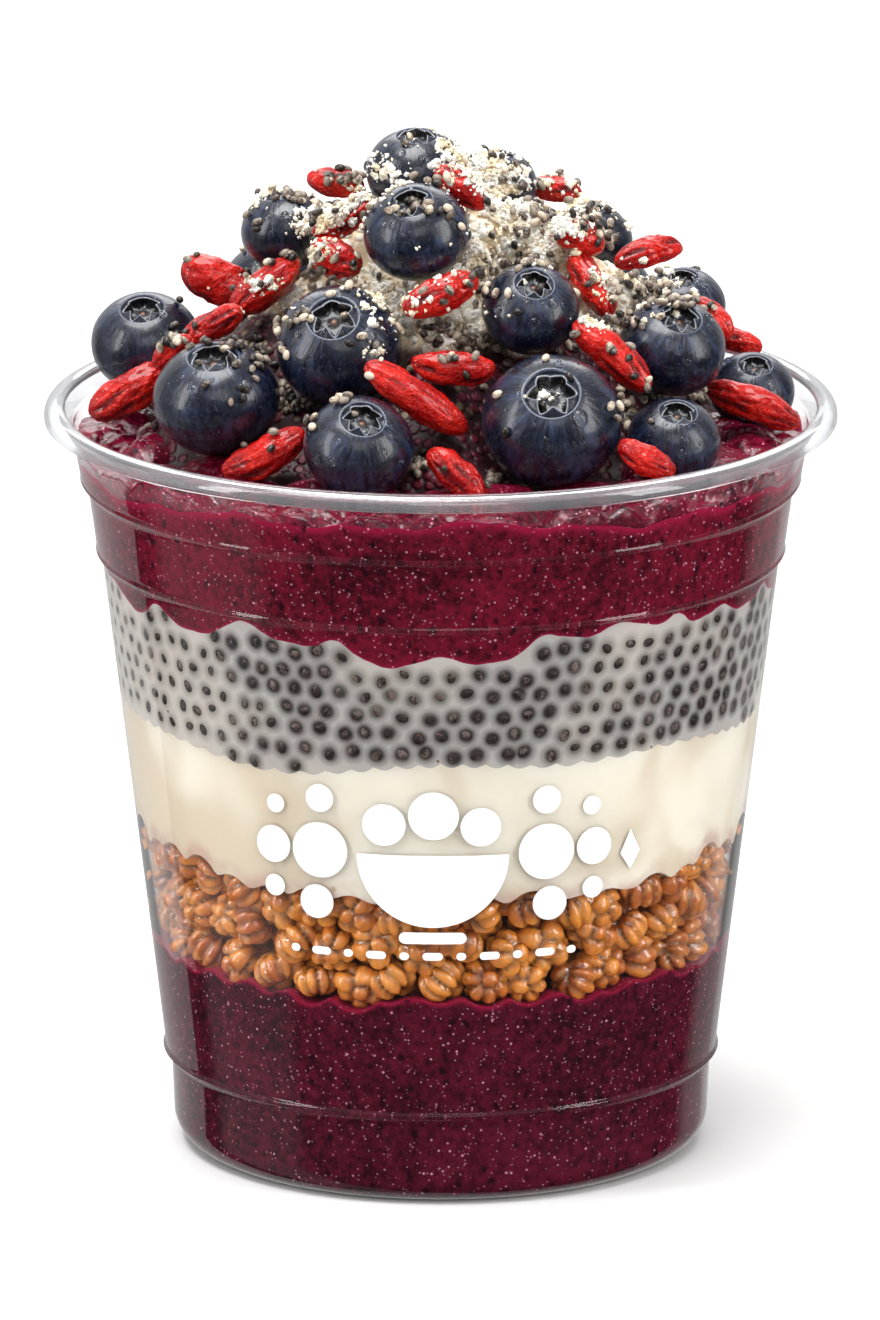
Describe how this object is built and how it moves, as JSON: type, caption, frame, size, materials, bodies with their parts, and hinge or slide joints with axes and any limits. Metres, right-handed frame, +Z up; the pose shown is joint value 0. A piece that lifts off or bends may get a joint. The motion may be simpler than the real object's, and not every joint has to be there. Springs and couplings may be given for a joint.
{
  "type": "acai bowl",
  "caption": "Layered acai bowl in a clear tapered plastic cup with a rolled rim, heaped with blueberries, goji berries, crumb and chia seeds, ready to eat with a spoon.",
  "frame": {"origin": "centre of the standing ring, on the surface that the cup stands on", "axes": "+Z up along the cup's axis; the side shown in the picture faces -Y; +X is to the right of that side"},
  "size_m": [0.098, 0.098, 0.1282],
  "materials": {
    "clear_plastic": "clear thermoformed plastic, thin and glossy",
    "acai": "dark purple-red fruit puree, moist",
    "granola": "toasted oat clusters in a caramel glaze",
    "yoghurt": "thick creamy white",
    "chia_pudding": "grey gel full of soaked seeds",
    "acai_glossy": "the same puree with a wet shine",
    "crumb_and_seeds": "off-white crumb mixed with small brown and grey seeds",
    "blueberry": "blue-black skin with a dull pale bloom",
    "goji": "wrinkled red skin, moist"
  },
  "bodies": {
    "root": {"cup": "clear_plastic", "acai_base": "acai", "granola": "granola", "yoghurt": "yoghurt", "chia_pudding": "chia_pudding", "acai_top": "acai_glossy", "topping_mound": "crumb_and_seeds", "blueberry_01": "blueberry", "blueberry_02": "blueberry", "blueberry_03": "blueberry", "blueberry_04": "blueberry", "blueberry_05": "blueberry", "blueberry_06": "blueberry", "blueberry_07": "blueberry", "blueberry_08": "blueberry", "blueberry_09": "blueberry", "blueberry_10": "blueberry", "blueberry_11": "blueberry", "blueberry_12": "blueberry", "blueberry_13": "blueberry", "blueberry_14": "blueberry", "blueberry_15": "blueberry", "blueberry_16": "blueberry", "blueberry_17": "blueberry", "blueberry_18": "blueberry", "blueberry_19": "blueberry", "blueberry_20": "blueberry", "goji_01": "goji", "goji_02": "goji", "goji_03": "goji", "goji_04": "goji", "goji_05": "goji", "goji_06": "goji", "goji_07": "goji", "goji_08": "goji", "goji_09": "goji", "goji_10": "goji", "goji_11": "goji", "goji_12": "goji", "goji_13": "goji", "goji_14": "goji", "goji_15": "goji", "goji_16": "goji", "goji_17": "goji", "goji_18": "goji", "goji_19": "goji", "goji_20": "goji", "goji_21": "goji", "goji_22": "goji", "goji_23": "goji", "goji_24": "goji", "goji_25": "goji", "goji_26": "goji", "goji_27": "goji", "goji_28": "goji"}
  },
  "joints": []
}
